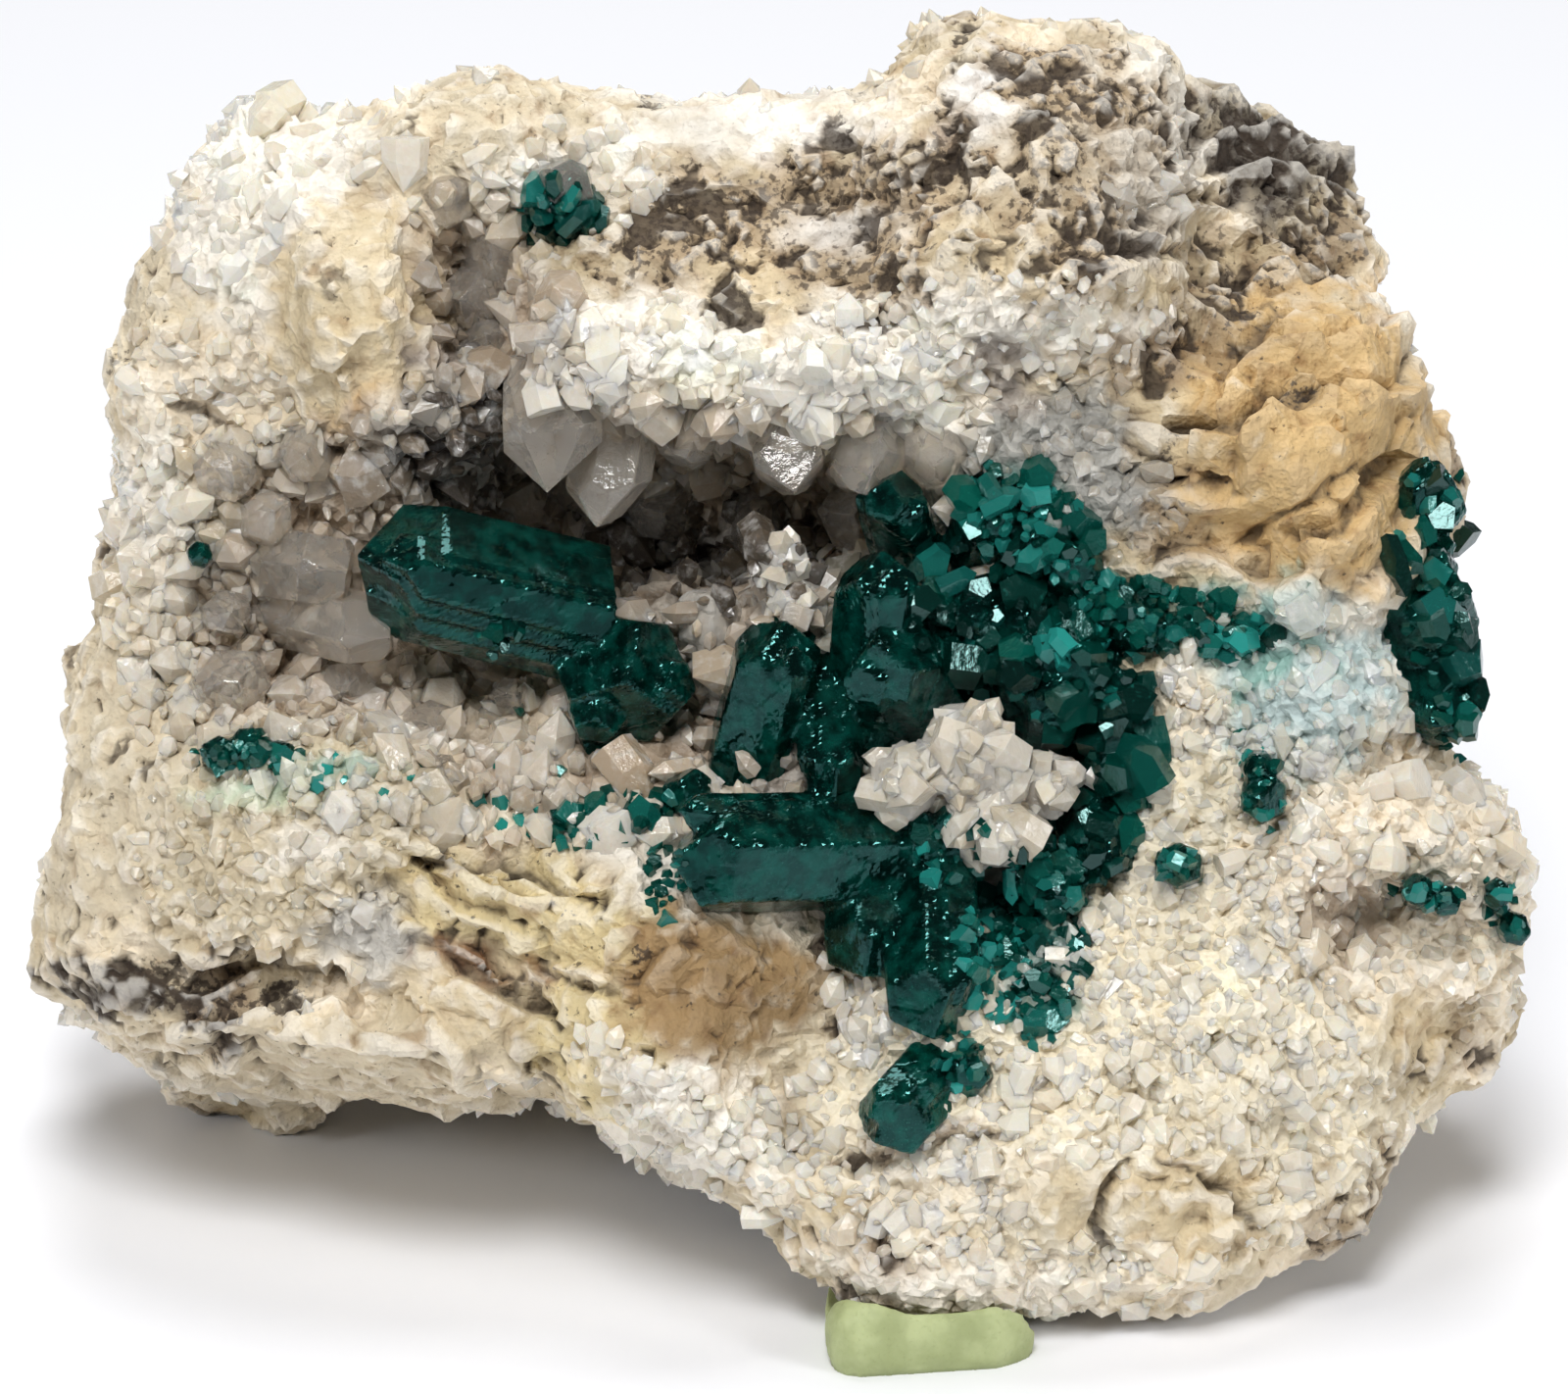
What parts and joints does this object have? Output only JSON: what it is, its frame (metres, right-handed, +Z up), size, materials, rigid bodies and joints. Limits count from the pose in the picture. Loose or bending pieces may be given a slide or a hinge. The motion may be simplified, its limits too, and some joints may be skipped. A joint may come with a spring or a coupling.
{
  "type": "dioptase crystal specimen on matrix",
  "caption": "Hand-sized mineral specimen: dark emerald green crystals in a quartz-lined hollow of pale host rock, standing on a small putty pad.",
  "frame": {"origin": "centre of the specimen's box, on the surface that it stands on", "axes": "+X along the long side, to the right as seen from the crystal face; the crystal face looks along -Y; +Z up"},
  "size_m": [0.0807, 0.0578, 0.062],
  "materials": {
    "host_rock": "rough pale rock, cream to ochre, with grey and black stains",
    "quartz": "clear to milky quartz, slightly smoky",
    "dioptase": "deep emerald green, glassy, see-through at thin edges",
    "putty": "soft matte pale green putty"
  },
  "bodies": {
    "root": {"host_rock": "host_rock", "quartz_crust": "quartz", "quartz_knob": "quartz", "quartz_perch": "quartz", "dioptase_pair": "dioptase", "dioptase_cluster": "dioptase", "dioptase_lower_crystal": "dioptase", "dioptase_edge_cluster": "dioptase", "dioptase_upper_crystal": "dioptase", "dioptase_chip_middle": "dioptase", "dioptase_chip_branch": "dioptase", "dioptase_chip_right": "dioptase", "dioptase_chip_far_right": "dioptase", "dioptase_chip_left": "dioptase", "dioptase_chip_ledge": "dioptase", "putty_pad": "putty"}
  },
  "joints": []
}
